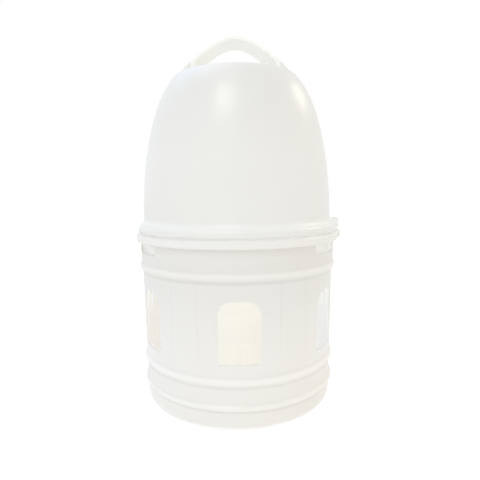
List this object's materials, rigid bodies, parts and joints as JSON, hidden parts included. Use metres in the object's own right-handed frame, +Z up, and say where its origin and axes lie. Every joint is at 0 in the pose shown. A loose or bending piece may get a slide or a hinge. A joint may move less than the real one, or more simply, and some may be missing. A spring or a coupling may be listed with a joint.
{
  "type": "pigeon drinker",
  "caption": "Free-standing vacuum drinker for pigeons: a bell-shaped tank with a carrying strap that twist-locks on a round base with arched drinking windows.",
  "frame": {"origin": "middle of the base's flat underside, on the drinker's axis", "axes": "+Z up along the drinker's axis, one drinking window towards -Y, the two index tabs towards +X"},
  "size_m": [0.216, 0.211, 0.3716],
  "materials": {
    "base_plastic": "satin, slightly translucent",
    "tank_plastic": "satin, slightly translucent",
    "funnel_plastic": "satin",
    "handle_plastic": "satin",
    "seal_rubber": "matt"
  },
  "bodies": {
    "base": {"drinking_base": "base_plastic"},
    "funnel": {"outlet_funnel": "funnel_plastic"},
    "seal": {"seal_ring": "seal_rubber"},
    "tank": {"tank_bell": "tank_plastic", "carry_handle": "handle_plastic"}
  },
  "joints": [
    {"name": "insert_lift", "type": "slide", "parent": "base", "child": "funnel", "axis": [0, 0, 1], "range_m": [0, 0.18]},
    {"name": "tank_twist", "type": "hinge", "parent": "funnel", "child": "seal", "pos_m": [0, 0, 0.152], "axis": [0, 0, 1], "range_deg": [-15, 0]},
    {"name": "tank_lift", "type": "slide", "parent": "seal", "child": "tank", "axis": [0, 0, 1], "range_m": [0, 0.12]}
  ]
}
